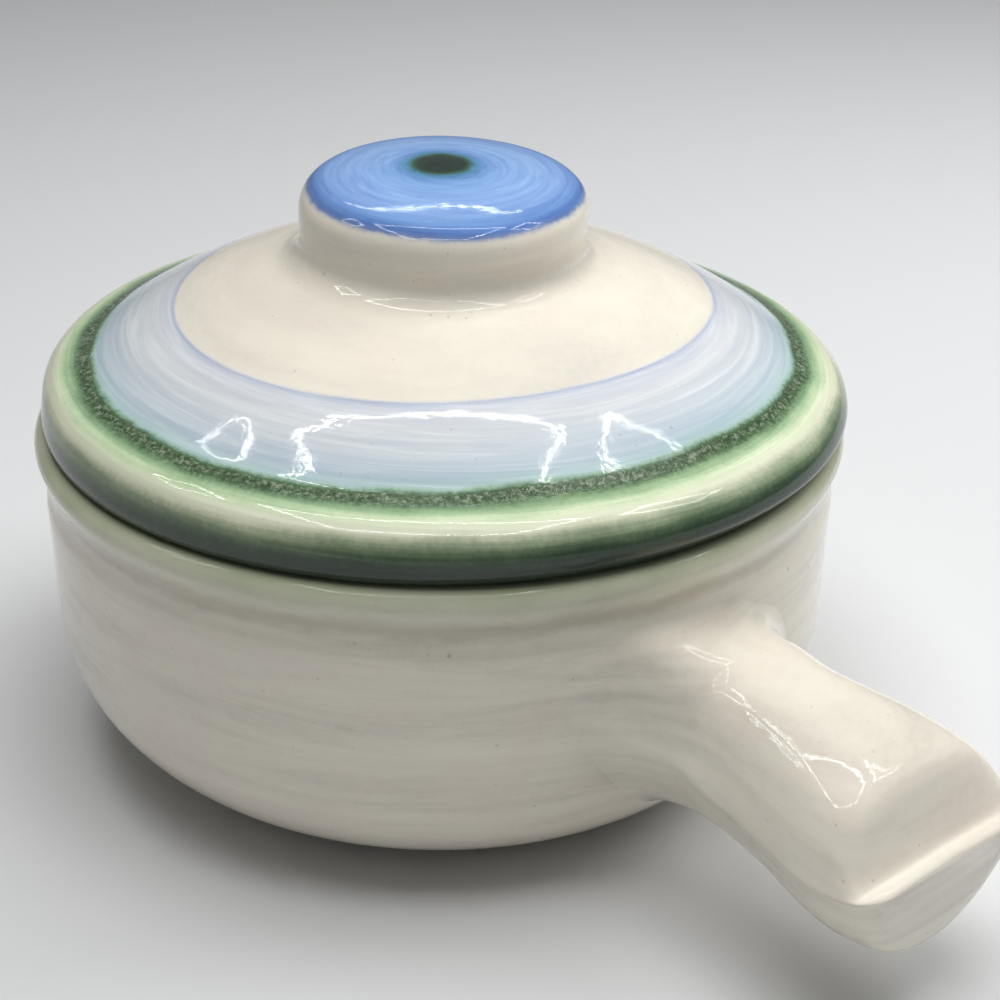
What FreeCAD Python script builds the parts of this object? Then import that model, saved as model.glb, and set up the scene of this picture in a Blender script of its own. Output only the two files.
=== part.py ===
"""Lidded soup bowl with a stick handle, in glazed stoneware.

The bowl stands on an unglazed foot ring. The handle is luted to its wall, and the knob to the
lid. The lid lies loose on the bowl's rim, and a flange under it keeps it central.
Millimetres, +Z up. The origin is on the bowl's axis, in the plane that the foot stands on,
and +X points along the handle.
"""
import FreeCAD, Part
import math
import os
import Sketcher
from FreeCAD import Vector

# Driving sizes, in millimetres and degrees

SIZES = {
    # Bowl, outside
    "rim_radius": 73.5,
    "bowl_height": 63.4,
    "wall_setback": 1.2,
    "belly_setback": 0.6,
    "lower_round": 30.0,
    "collar_height": 9.0,
    "groove_width": 6.0,
    "groove_depth": 0.5,
    "lip_round": 2.7,
    # Bowl, walls and foot
    "bowl_wall": 5.8,
    "mouth_round": 1.6,
    "floor_thickness": 6.5,
    "inner_round": 25.0,
    "foot_ring_width": 9.0,
    "foot_recess": 1.4,
    # Lid
    "seat_gap": 0.3,
    "lid_setback": 0.7,
    "roll_radius": 6.1,
    "roll_rise": 4.2,
    "roll_top_angle": 72.0,
    "dome_foot_setback": 9.9,
    "dome_foot_rise": 11.8,
    "dome_foot_slope": 34.5,
    "dome_round": 101.0,
    "knob_seat_rise": 26.0,
    "knob_seat_slope": 16.0,
    "lid_thickness": 5.6,
    "flange_clearance": 1.4,
    "flange_depth": 6.0,
    "flange_thickness": 4.6,
    "flange_root": 3.0,
    "flange_chamfer": 1.0,
    # Knob
    "knob_waist_radius": 24.6,
    "knob_overhang": 0.7,
    "skirt_spread": 8.4,
    "knob_waist_rise": 7.0,
    "knob_shoulder_rise": 11.0,
    "knob_height": 18.6,
    "knob_edge_round": 4.6,
    "knob_crown_slope": 12.5,
    # Handle
    "handle_length": 50.9,
    "ridge_height": 28.3,
    "waist_width": 33.0,
    "end_width": 41.0,
    "corner_round": 9.0,
    "waist_rise": 19.2,
    "end_rise": 15.8,
    "belly_drop": 11.2,
    "end_drop": 15.5,
    "end_slope_length": 15.0,
    "end_belly_round": 8.0,
    "end_lip": 1.3,
    "end_edge": 0.15,
    "root_flare_length": 10.0,
    "root_flare_rise": 6.0,
    "root_flare_spread": 11.0,
}

doc = FreeCAD.newDocument("lidded_soup_bowl")
sheet = doc.addObject("Spreadsheet::Sheet", "Size")
for row, (name, size) in enumerate(SIZES.items(), start=1):
    sheet.set("A%d" % row, name)
    sheet.set("B%d" % row, str(size))
    sheet.setAlias("B%d" % row, name)
doc.recompute()


def measure(expression):
    """What an expression over the sheet's sizes comes to, as a plain number."""
    result = sheet.evalExpression(expression.replace("Size.", ""))
    return float(getattr(result, "Value", result))


# Outlines: each is drawn in the plane of the axis, as points of (radius, height) that are
# expressions over the sheet, with the edge that leads to each point. An arc has its radius and
# the side of the path that its centre lies on.

LINE = None
LEFT = 1
RIGHT = -1


def arc_centre(start, end, radius, side):
    """Centre of the arc of under a half turn from start to end, on the given side."""
    chord = end - start
    half = chord.Length / 2
    across = Vector(-chord.y, chord.x, 0).normalize() * side
    return (start + end) / 2 + across * math.sqrt(max(radius * radius - half * half, 0))


def outline_edge(start, end, bend):
    """The line or arc from start to end, as plain geometry."""
    if bend is LINE:
        return Part.LineSegment(start, end)
    radius, side = measure(bend[0]), bend[1]
    centre = arc_centre(start, end, radius, side)
    middle = (start + end) / 2 - centre
    crown = centre + middle.normalize() * radius
    return Part.Arc(start, crown, end)


def outline_points(outline):
    return [Vector(measure(point[0]), measure(point[1]), 0) for point in outline]


def revolved_body(label, outline):
    """A body made by turning a closed outline about the vertical axis."""
    body = doc.addObject("PartDesign::Body", label)
    body.Label = label
    sketch = body.newObject("Sketcher::SketchObject", label + "_outline")
    plane = next(item for item in body.Origin.OriginFeatures if item.Role == "XZ_Plane")
    sketch.AttachmentSupport = [(plane, "")]
    sketch.MapMode = "FlatFace"
    points = outline_points(outline)
    count = len(outline)
    for index in range(count):
        bend = outline[(index + 1) % count][2]
        edge = outline_edge(points[index], points[(index + 1) % count], bend)
        if bend is LINE:
            sketch.addGeometry(edge, False)
            continue
        # An arc of a sketch runs anticlockwise, so its start is the path's end on a right bend
        centre = arc_centre(points[index], points[(index + 1) % count], measure(bend[0]), bend[1])
        angles = [math.atan2(p.y - centre.y, p.x - centre.x)
                  for p in (points[index], points[(index + 1) % count])]
        if bend[1] == RIGHT:
            angles.reverse()
        circle = Part.Circle(centre, Vector(0, 0, 1), measure(bend[0]))
        sketch.addGeometry(Part.ArcOfCircle(circle, angles[0], angles[1]), False)

    def corner(index):
        """The sketch's name for the point where an edge starts: its edge and its end of it."""
        bend = outline[(index + 1) % count][2]
        return (index, 2 if bend is not LINE and bend[1] == RIGHT else 1)

    def far_end(index):
        bend = outline[(index + 1) % count][2]
        return (index, 1 if bend is not LINE and bend[1] == RIGHT else 2)

    for index in range(count):
        following = (index + 1) % count
        sketch.addConstraint(Sketcher.Constraint("Coincident", *far_end(index), *corner(following)))
    for index, (radius, height, _) in enumerate(outline):
        for kind, expression, axis in (("DistanceX", radius, -2), ("DistanceY", height, -1)):
            if expression == "0":
                sketch.addConstraint(Sketcher.Constraint("PointOnObject", *corner(index), axis))
                continue
            distance = Sketcher.Constraint(kind, -1, 1, *corner(index), measure(expression))
            place = sketch.addConstraint(distance)
            sketch.setExpression("Constraints[%d]" % place, expression)
        bend = outline[(index + 1) % count][2]
        if bend is not LINE:
            place = sketch.addConstraint(Sketcher.Constraint("Radius", index, measure(bend[0])))
            sketch.setExpression("Constraints[%d]" % place, bend[0])
    turn = body.newObject("PartDesign::Revolution", label + "_turned")
    turn.Profile = sketch
    turn.ReferenceAxis = (sketch, ["V_Axis"])
    turn.Angle = 360
    body.Tip = turn
    return body


# Bowl

wall_radius = "(Size.rim_radius - Size.wall_setback)"
belly_radius = f"({wall_radius} - Size.belly_setback)"
foot_radius = f"({belly_radius} - Size.lower_round)"
groove_height = "(Size.bowl_height - Size.collar_height)"
groove_round = "(Size.groove_width^2 / 4 + Size.groove_depth^2) / (2 * Size.groove_depth)"
mouth_radius = "(Size.rim_radius - Size.bowl_wall)"
inner_radius = f"({belly_radius} - Size.bowl_wall)"

BOWL_OUTSIDE = [
    ("0", "Size.foot_recess", LINE),
    (f"{foot_radius} - Size.foot_ring_width", "Size.foot_recess", LINE),
    (f"{foot_radius} - Size.foot_ring_width + Size.foot_recess", "0", LINE),
    (foot_radius, "0", LINE),
    (belly_radius, "Size.lower_round", ("Size.lower_round", LEFT)),
    (wall_radius, f"{groove_height} - Size.groove_width / 2", LINE),
    (wall_radius, f"{groove_height} + Size.groove_width / 2", (groove_round, RIGHT)),
    ("Size.rim_radius", "Size.bowl_height - Size.lip_round", LINE),
    ("Size.rim_radius - Size.lip_round", "Size.bowl_height", ("Size.lip_round", LEFT)),
]
BOWL_INSIDE = [
    (f"{mouth_radius} + Size.mouth_round", "Size.bowl_height", LINE),
    (mouth_radius, "Size.bowl_height - Size.mouth_round", ("Size.mouth_round", LEFT)),
    (inner_radius, "Size.floor_thickness + Size.inner_round", LINE),
    (f"{inner_radius} - Size.inner_round", "Size.floor_thickness", ("Size.inner_round", RIGHT)),
    ("0", "Size.floor_thickness", LINE),
]
bowl = revolved_body("bowl", BOWL_OUTSIDE + BOWL_INSIDE)

# Lid: a domed disc with a rolled edge, and a flange that hangs inside the bowl's mouth

seat_height = "Size.bowl_height + Size.seat_gap"
roll_axis = "(Size.rim_radius - Size.lid_setback - Size.roll_radius)"
roll_height = f"({seat_height} + Size.roll_rise)"
dome_foot_radius = "(Size.rim_radius - Size.lid_setback - Size.dome_foot_setback)"
knob_seat_height = f"({seat_height} + Size.knob_seat_rise)"
knob_seat_radius = "(Size.knob_waist_radius + Size.skirt_spread)"
flange_radius = f"({mouth_radius} - Size.flange_clearance)"
flange_bottom = f"({seat_height} - Size.flange_depth)"

LID = [
    ("0", knob_seat_height, LINE),
    (knob_seat_radius, knob_seat_height, LINE),
    (dome_foot_radius, f"{seat_height} + Size.dome_foot_rise", ("Size.dome_round", RIGHT)),
    (f"{roll_axis} + Size.roll_radius * cos(Size.roll_top_angle)",
     f"{roll_height} + Size.roll_radius * sin(Size.roll_top_angle)", LINE),
    (f"{roll_axis} + sqrt(Size.roll_radius^2 - Size.roll_rise^2)", seat_height,
     ("Size.roll_radius", RIGHT)),
    (flange_radius, seat_height, LINE),
    (flange_radius, f"{flange_bottom} + Size.flange_chamfer", LINE),
    (f"{flange_radius} - Size.flange_chamfer", flange_bottom, LINE),
    (f"{flange_radius} - Size.flange_thickness", flange_bottom, LINE),
    (f"{flange_radius} - Size.flange_thickness", f"{seat_height} + Size.flange_root", LINE),
    (f"{dome_foot_radius} - Size.lid_thickness * sin(Size.dome_foot_slope)",
     f"{seat_height} + Size.dome_foot_rise - Size.lid_thickness * cos(Size.dome_foot_slope)", LINE),
    (f"{knob_seat_radius} - Size.lid_thickness * sin(Size.knob_seat_slope)",
     f"{knob_seat_height} - Size.lid_thickness * cos(Size.knob_seat_slope)",
     ("Size.dome_round - Size.lid_thickness", LEFT)),
    ("0", f"{knob_seat_height} - Size.lid_thickness * cos(Size.knob_seat_slope)", LINE),
]
lid = revolved_body("lid", LID)

# Knob: its skirt runs out into the dome, and its side has a slight waist

knob_radius = "(Size.knob_waist_radius + Size.knob_overhang)"
knob_top = f"({knob_seat_height} + Size.knob_height)"
skirt_round = "(Size.skirt_spread^2 + Size.knob_waist_rise^2) / (2 * Size.skirt_spread)"
crown_radius = (f"({knob_radius} - Size.knob_edge_round"
                " + Size.knob_edge_round * sin(Size.knob_crown_slope))")
crown_height = f"({knob_top} - {crown_radius} * tan(Size.knob_crown_slope / 2))"

KNOB = [
    ("0", knob_seat_height, LINE),
    (knob_seat_radius, knob_seat_height, LINE),
    ("Size.knob_waist_radius", f"{knob_seat_height} + Size.knob_waist_rise", (skirt_round, RIGHT)),
    (knob_radius, f"{knob_seat_height} + Size.knob_shoulder_rise", LINE),
    (knob_radius, f"{crown_height} - Size.knob_edge_round * cos(Size.knob_crown_slope)", LINE),
    (crown_radius, crown_height, ("Size.knob_edge_round", LEFT)),
    ("0", knob_top, (f"{crown_radius} / sin(Size.knob_crown_slope)", LEFT)),
]
knob = revolved_body("knob", KNOB)

# Handle: an arched top and a rounder belly that meet at a crisp ridge all round it. It spreads
# at the root, where it runs into the wall, and its end slopes down to a small lip at the ridge.
# A place along it is given as its distance out from the wall.

size = {name: measure(name) for name in SIZES}
outer_wall = measure(wall_radius)
length = size["handle_length"]
slope_start = length - size["end_slope_length"]
flare_end = size["root_flare_length"]
straight_from = 2 * flare_end
inner_end = -outer_wall / 3

WAIST_SHARE = 0.25         # where the handle is narrowest, as a share of its length
TOP_SQUARENESS = 2.6       # exponent of the arched top's outline, where 2 is an ellipse
BELLY_SQUARENESS = 2.0
END_SQUARENESS = 2.4       # the same for the belly's end, seen from the side
SLOPE_BEND = 1.25          # above 1, the end's slope starts late
LIP_FROM, LIP_FULL = 0.5, 0.85       # where the lip grows, as shares of the end's slope
LIP_SQUARENESS = 12
FLARE_BEND = 2.2           # above 1, the root's spread is hollow, as a fillet is
ROOT_DEPTH = 0.15          # how far the spread runs on into the wall, as a share of its length
SECTION_STEPS = 12

FLARE_SHARES = (-3 * ROOT_DEPTH, -ROOT_DEPTH, 0.0, 0.15, 0.35, 0.65, 1.0)
GRIP_SHARES = (0.25, 0.6, 1.0)
SLOPE_SHARES = (0.2, 0.4, 0.57, 0.7, 0.81, 0.9, 0.96, 0.99, 1.0)


def clamped(share):
    return min(max(share, 0.0), 1.0)


def between(low, high, share):
    """From low to high, easing in and out."""
    share = clamped(share)
    return low + (high - low) * share * share * (3 - 2 * share)


def quarter_turn(share):
    """Drop of a quarter circle of radius 1 at this share of its run."""
    return 1 - math.sqrt(1 - clamped(share) ** 2)


def root_flare(out, growth):
    """What the spread at the wall adds to the handle's section. It runs on a little way into the
    wall, so that the handle meets the wall at a clear angle, and is gone at the inner end."""
    if out <= inner_end:
        return 0.0
    share = min(max(1 - out / flare_end, 0.0), 1 + ROOT_DEPTH)
    return growth * share ** FLARE_BEND


def half_width(out):
    waist_at = WAIST_SHARE * length
    toward_end = (out - waist_at) / (length - size["corner_round"] - waist_at)
    width = between(size["waist_width"], size["end_width"], toward_end) / 2
    corner = size["corner_round"] * quarter_turn(1 - (length - out) / size["corner_round"])
    return width - corner + root_flare(out, size["root_flare_spread"])


def top_rise(out):
    """Height of the top above the ridge."""
    grip = size["waist_rise"] + (size["end_rise"] - size["waist_rise"]) * clamped(out / slope_start)
    share = clamped((out - slope_start) / size["end_slope_length"])
    slope = math.cos(math.pi / 2 * share ** SLOPE_BEND) ** 2
    lip = between(0, size["end_lip"], (share - LIP_FROM) / (LIP_FULL - LIP_FROM))
    lip *= math.sqrt(1 - share ** LIP_SQUARENESS)
    return max(grip * slope + lip + root_flare(out, size["root_flare_rise"]), size["end_edge"])


def belly_depth(out):
    """Depth of the belly below the ridge."""
    waist_at = WAIST_SHARE * length
    toward_end = (out - waist_at) / (slope_start - waist_at)
    depth = between(size["belly_drop"], size["end_drop"], toward_end)
    share = clamped(1 - (length - out) / size["end_belly_round"])
    end = (1 - share ** END_SQUARENESS) ** (1 / END_SQUARENESS)
    return max(depth * end + root_flare(out, size["root_flare_rise"]), size["end_edge"])


def wall_curve(across, height):
    """How far the bowl's wall falls back at this place from where it is under the handle."""
    below_belly = clamped(1 - height / size["lower_round"]) * size["lower_round"]
    radius = outer_wall - size["lower_round"]
    radius += math.sqrt(size["lower_round"] ** 2 - below_belly ** 2)
    return outer_wall - math.sqrt(max(radius ** 2 - across ** 2, 0.0))


def arch(out, height, squareness, following):
    """Half of a section, from one side of the ridge over to the other. A root section follows
    the wall's curve by the share following."""
    points = []
    for step in range(SECTION_STEPS + 1):
        turn = math.pi * step / SECTION_STEPS
        run = abs(math.cos(turn)) ** (2 / squareness)
        across = half_width(out) * math.copysign(run, math.cos(turn))
        up = size["ridge_height"] + height * abs(math.sin(turn)) ** (2 / squareness)
        along = outer_wall + out - following * wall_curve(across, up)
        points.append(Vector(along, across, up))
    curve = Part.BSplineCurve()
    curve.interpolate(points)
    return curve.toShape()


def handle_section(out, following=0.0):
    top = arch(out, top_rise(out), TOP_SQUARENESS, following)
    belly = arch(out, -belly_depth(out), BELLY_SQUARENESS, following)
    return Part.Wire([top, belly])


def outside_form():
    """The bowl as a filled solid, which the handle's root is cut to."""
    points = outline_points(BOWL_OUTSIDE)
    edges = [outline_edge(points[i], points[i + 1], BOWL_OUTSIDE[i + 1][2]).toShape()
             for i in range(len(points) - 1)]
    top = Vector(0, points[-1].y, 0)
    edges.append(Part.makeLine(points[-1], top))
    edges.append(Part.makeLine(top, points[0]))
    face = Part.Face(Part.Wire(edges))
    face.rotate(Vector(), Vector(1, 0, 0), 90)
    return face.revolve(Vector(), Vector(0, 0, 1), 360)


root = [flare_end * share for share in FLARE_SHARES]
root.append((flare_end + straight_from) / 2)
grip = [straight_from + (slope_start - straight_from) * share for share in GRIP_SHARES]
slope = [slope_start + size["end_slope_length"] * share for share in SLOPE_SHARES]
sections = [handle_section(inner_end)]
sections += [handle_section(out, between(1, 0, out / straight_from)) for out in root]
sections += [handle_section(out) for out in grip + slope]
handle = doc.addObject("Part::Feature", "handle")
handle.Label = "handle"
handle.Shape = Part.makeLoft(sections, True, False).cut(outside_form())

# Checks and files

doc.recompute()
parts = [bowl, handle, lid, knob]
for item in doc.Objects:
    if "Invalid" in item.State or "Error" in item.State:
        raise RuntimeError("%s did not compute" % item.Name)
for part in parts:
    if part.Shape.isNull() or not part.Shape.isValid() or len(part.Shape.Solids) != 1:
        raise RuntimeError("%s is not one valid solid" % part.Label)
    print("%s: %.0f cubic millimetres" % (part.Label, part.Shape.Volume))
os.makedirs("parts", exist_ok=True)
for part in parts:
    part.Shape.exportStep("parts/%s.step" % part.Label)
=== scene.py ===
"""How a lidded soup bowl in glazed stoneware looks.

The bowl was thrown on a wheel, its stick handle was pressed and luted to the wall, and the loose
lid was thrown with a rolled edge and got a broad knob. Each outline below is in millimetres, as
points of (radius, height), and runs from the axis underneath to the axis on top.
"""
import math

import bpy
from mathutils import Matrix, Vector, noise
from mathutils.bvhtree import BVHTree


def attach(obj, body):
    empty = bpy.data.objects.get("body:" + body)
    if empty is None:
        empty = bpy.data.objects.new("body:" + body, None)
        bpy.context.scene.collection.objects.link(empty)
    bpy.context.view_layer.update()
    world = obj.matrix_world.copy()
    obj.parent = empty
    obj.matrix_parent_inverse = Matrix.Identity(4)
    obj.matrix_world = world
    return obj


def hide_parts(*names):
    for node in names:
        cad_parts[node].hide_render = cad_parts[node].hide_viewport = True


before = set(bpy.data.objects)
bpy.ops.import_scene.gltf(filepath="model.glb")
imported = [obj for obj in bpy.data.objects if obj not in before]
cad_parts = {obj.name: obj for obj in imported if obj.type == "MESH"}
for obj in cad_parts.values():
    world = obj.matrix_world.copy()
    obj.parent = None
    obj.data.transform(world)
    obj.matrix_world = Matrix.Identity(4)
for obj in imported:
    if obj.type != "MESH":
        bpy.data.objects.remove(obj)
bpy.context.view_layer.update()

MM = 0.001

# The pot's own sizes, in millimetres

RIM = 73.5
BOWL_HEIGHT = 63.4
WALL = 72.3
BELLY = 71.7
LOWER_ROUND = 30.0
BOWL_WALL = 5.8
FLOOR_THICKNESS = 6.5
INNER_ROUND = 25.0
FOOT_RING = 9.0
FOOT_RECESS = 1.4
GROOVE = (50.6, 57.6)      # from and to this height, under the lip
SEAT = 63.7
FLANGE = 66.3
HOLLOW = 84.3              # top of the hollow under the lid
ROLL = 6.1
ROLL_AT = (66.45, 67.9)
DOME_FOOT = (62.9, 75.5)
DOME_ROUND = 101
KNOB_SEAT = (33.0, 89.7)
KNOB_FOOT = 88.9
UNDER_KNOB = 26.5
KNOB_WAIST = 25.3
KNOB_SIDE = 25.55
TOP = 108.3

HANDLE_LENGTH = 50.9
RIDGE = 28.35

# Middle of the dark dot on the knob, in metres
KNOB_DOT = (-0.0003, 0.0007, 0.0)

# The lid lies a little askew on the rim: towards the far side it is lower
ASKEW = math.radians(1.1)
ASKEW_SHIFT = 1.1
ASKEW_TOWARDS = (0.651, 0.759, 0.0)

# The knob was luted a little off the lid's centre, so it has a shift and a lean of its own. Its top
# slopes a little towards the viewer, beside what the lid's tip gives it.
KNOB_SHIFT = -1.05
KNOB_LEAN = 0.05
KNOB_TIP = math.radians(2)
KNOB_TIP_TOWARDS = Vector((0.759, -0.651, 0.0))


# Outlines

def line(points, end, step):
    start = points[-1]
    count = max(1, round(math.dist(start, end) / step))
    for i in range(1, count + 1):
        points.append((start[0] + (end[0] - start[0]) * i / count,
                       start[1] + (end[1] - start[1]) * i / count))


def arc(points, centre, end, step):
    """The short way round a centre, from the last point to end."""
    start = points[-1]
    radius = math.dist(start, centre)
    first = math.atan2(start[1] - centre[1], start[0] - centre[0])
    turn = math.atan2(end[1] - centre[1], end[0] - centre[0]) - first
    turn = (turn + math.pi) % (2 * math.pi) - math.pi
    count = max(2, round(abs(turn) * radius / step))
    for i in range(1, count + 1):
        angle = first + turn * i / count
        points.append((centre[0] + radius * math.cos(angle), centre[1] + radius * math.sin(angle)))


def bend(points, first_pull, last_pull, end, step):
    """A curve from the last point to end, drawn out by a pull point near each of them."""
    start = points[-1]
    count = max(4, round(math.dist(start, end) * 1.2 / step))
    for i in range(1, count + 1):
        points.append(bezier(start, first_pull, last_pull, end, i / count))


def bezier(start, first_pull, last_pull, end, t):
    u = 1 - t
    return tuple(a * u ** 3 + 3 * b * u * u * t + 3 * c * u * t * t + d * t ** 3
                 for a, b, c, d in zip(start, first_pull, last_pull, end))


def softened(points, rounds):
    """Corners as the glaze leaves them: each point moves towards its neighbours' middle."""
    for _ in range(rounds):
        points = [points[0]] + [
            tuple((a + 2 * b + c) / 4 for a, b, c in zip(*three))
            for three in zip(points, points[1:], points[2:])] + [points[-1]]
    return points


def bend_centre(start, end, radius, side):
    """Centre of an arc through two points. Side 1 is to the left of the way from start to end."""
    dx, dy = end[0] - start[0], end[1] - start[1]
    chord = math.hypot(dx, dy)
    across = math.sqrt(radius * radius - chord * chord / 4) * side / chord
    return ((start[0] + end[0]) / 2 - dy * across, (start[1] + end[1]) / 2 + dx * across)


DOME_CENTRE = bend_centre(DOME_FOOT, KNOB_SEAT, DOME_ROUND, 1)


def on_dome(radius):
    return (radius, DOME_CENTRE[1] + math.sqrt(DOME_ROUND ** 2 - (radius - DOME_CENTRE[0]) ** 2))


def bowl_outline():
    foot = BELLY - LOWER_ROUND
    inside = BELLY - BOWL_WALL
    mouth = RIM - BOWL_WALL
    outline = [(0.0, FOOT_RECESS)]
    line(outline, (foot - FOOT_RING, FOOT_RECESS), 1.6)
    line(outline, (foot - FOOT_RING + FOOT_RECESS, 0.0), 0.5)
    line(outline, (foot, 0.0), 1.2)
    arc(outline, (foot, LOWER_ROUND), (BELLY, LOWER_ROUND), 1.0)
    groove = [(WALL - 0.1, GROOVE[0]), (WALL, GROOVE[1])]
    line(outline, groove[0], 1.0)
    arc(outline, bend_centre(*groove, 7.8, -1), groove[1], 0.5)
    line(outline, (RIM, 60.7), 0.5)
    arc(outline, (RIM - 2.7, BOWL_HEIGHT - 2.7), (RIM - 2.7, BOWL_HEIGHT), 0.4)
    line(outline, (mouth + 1.6, BOWL_HEIGHT), 0.4)
    arc(outline, (mouth + 1.6, BOWL_HEIGHT - 1.6), (mouth, BOWL_HEIGHT - 1.6), 0.4)
    line(outline, (inside, FLOOR_THICKNESS + INNER_ROUND), 1.2)
    arc(outline, (inside - INNER_ROUND, FLOOR_THICKNESS + INNER_ROUND),
        (inside - INNER_ROUND, FLOOR_THICKNESS), 1.3)
    line(outline, (0.0, FLOOR_THICKNESS), 1.6)
    return softened(outline, 3)


def lid_outline():
    hollow = [(31.4, HOLLOW), (59.7, 70.9)]
    outline = [(0.0, HOLLOW)]
    line(outline, hollow[0], 1.6)
    arc(outline, bend_centre(*hollow, 95.4, -1), hollow[1], 1.3)
    line(outline, (FLANGE - 4.6, SEAT + 3), 0.8)
    line(outline, (FLANGE - 4.6, SEAT - 6), 0.8)
    line(outline, (FLANGE - 1, SEAT - 6), 0.6)
    line(outline, (FLANGE, SEAT - 5), 0.4)
    line(outline, (FLANGE, SEAT), 0.6)
    line(outline, (ROLL_AT[0] + 4.42, SEAT), 0.6)
    crest = math.radians(72)
    arc(outline, ROLL_AT, (ROLL_AT[0] + ROLL, ROLL_AT[1]), 0.5)
    arc(outline, ROLL_AT, (ROLL_AT[0] + ROLL * math.cos(crest),
                           ROLL_AT[1] + ROLL * math.sin(crest)), 0.5)
    line(outline, DOME_FOOT, 0.5)
    arc(outline, DOME_CENTRE, on_dome(UNDER_KNOB), 0.8)
    line(outline, (0.0, outline[-1][1]), 1.6)
    return softened(outline, 3)


def knob_outline():
    crown, edge_round, top = math.radians(11), 5.5, TOP - 0.13
    edge_radius = KNOB_SIDE - edge_round + edge_round * math.sin(crown)
    edge = (edge_radius, top - edge_radius * math.tan(crown / 2))
    foot = on_dome(34.0)
    outline = [(0.0, KNOB_FOOT), (2.0, KNOB_FOOT)]
    line(outline, (32.0, KNOB_FOOT), 1.6)
    line(outline, (foot[0], foot[1] - 0.03), 0.6)
    bend(outline, (28.5, foot[1] + 1.66), (KNOB_WAIST + 0.1, 91.9), (KNOB_WAIST, 95.5), 0.4)
    line(outline, (KNOB_SIDE, 99.0), 0.5)
    line(outline, (KNOB_SIDE, edge[1] - edge_round * math.cos(crown)), 0.5)
    arc(outline, bend_centre(outline[-1], edge, edge_round, 1), edge, 0.4)
    arc(outline, (0.0, edge[1] - edge[0] / math.tan(crown)), (0.0, top), 0.7)
    return softened(outline, 3)


def runs_back(outline, unit):
    """How far each point is along the outline, back from the axis on top, which comes first."""
    runs, points = [0.0], outline[::-1]
    for a, b in zip(points, points[1:]):
        runs.append(runs[-1] + math.dist(a, b) * unit)
    return runs


def runs_to(outline, wanted):
    """How far along the outline, back from the axis on top, the nearest point to wanted is."""
    gaps = [math.dist(point, wanted) for point in outline[:0:-1]]
    return runs_back(outline, 1)[gaps.index(min(gaps))]


def placed(name, data):
    """A new object in the scene for this mesh, lamp or camera."""
    made = bpy.data.objects.new(name, data)
    bpy.context.scene.collection.objects.link(made)
    return made


def outline_object(name, points):
    """The outline as an edge mesh in the plane of the axis. Each point keeps its distance along
    the outline, for the rings of glaze to follow."""
    mesh = bpy.data.meshes.new(name)
    mesh.from_pydata([(r * MM, 0.0, z * MM) for r, z in points],
                     [(i, i + 1) for i in range(len(points) - 1)], [])
    mesh.attributes.new("run", "FLOAT", "POINT").data.foreach_set("value",
                                                                 runs_back(points, MM)[::-1])
    return placed(name, mesh)


# Nodes

def linear(code):
    """An sRGB hex colour as the linear red, green, blue and alpha that a socket takes."""
    parts = [int(code[i:i + 2], 16) / 255 for i in (1, 3, 5)]
    return [c / 12.92 if c <= 0.04045 else ((c + 0.055) / 1.055) ** 2.4 for c in parts] + [1.0]


def add(tree, kind, inputs=None, stops=None, **settings):
    """Adds a node with its settings. An input takes a value or the output that feeds it, and
    stops are a colour ramp's places and colours."""
    made = tree.nodes.new(kind)
    for name, value in settings.items():
        setattr(made, name, value)
    for socket, value in (inputs or {}).items():
        if isinstance(value, bpy.types.NodeSocket):
            tree.links.new(value, made.inputs[socket])
        else:
            made.inputs[socket].default_value = value
    for i, (place, colour) in enumerate(stops or []):
        element = made.color_ramp.elements[i] if i < 2 else made.color_ramp.elements.new(place)
        element.position = place
        element.color = linear(colour) if isinstance(colour, str) else (colour, colour, colour, 1)
    return made


# The wheel: one tree turns any of the outlines into a pot's wall

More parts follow.
